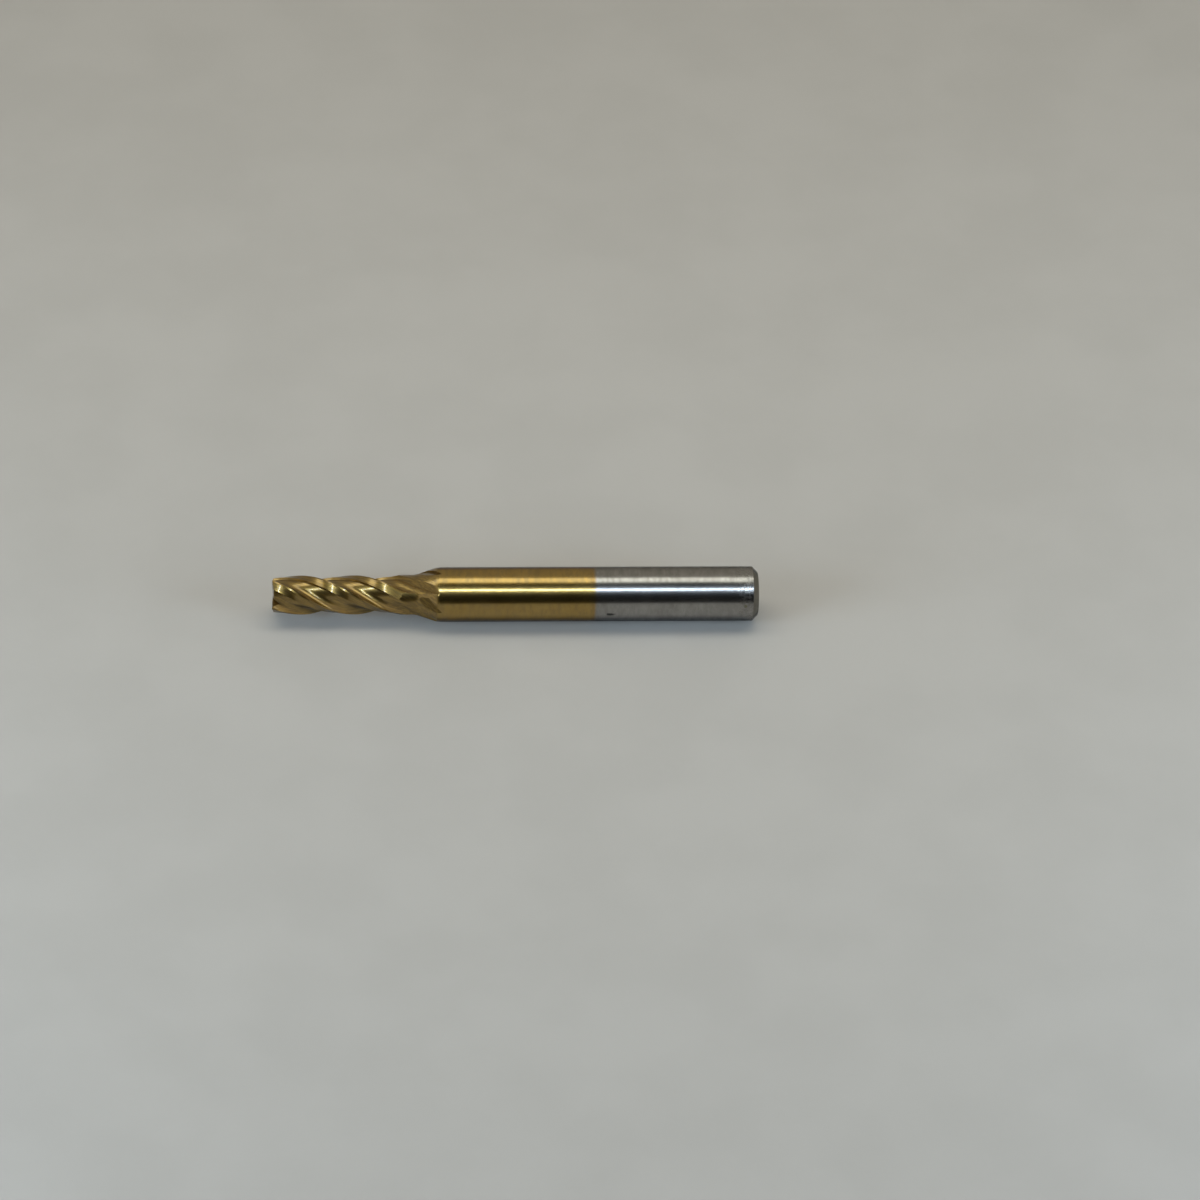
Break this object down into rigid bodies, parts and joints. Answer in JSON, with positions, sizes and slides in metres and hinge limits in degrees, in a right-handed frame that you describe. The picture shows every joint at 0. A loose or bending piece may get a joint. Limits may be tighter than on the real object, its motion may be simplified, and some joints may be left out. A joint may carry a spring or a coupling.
{
  "type": "end mill",
  "caption": "Square end mill with a straight shank, a cone down to a thinner fluted cutting end, and end teeth round a centre hole.",
  "frame": {"origin": "centre of the flat end of the shank, which the tool stands on", "axes": "+Z along the tool's axis to the cutting end; one corner of the cutting end lies on +X"},
  "size_m": [0.006, 0.006, 0.0532],
  "materials": {
    "tool_steel": "ground tool steel, gold coated from the cutting end to halfway up the shank, bare below that"
  },
  "bodies": {
    "root": {"end_mill": "tool_steel"}
  },
  "joints": []
}
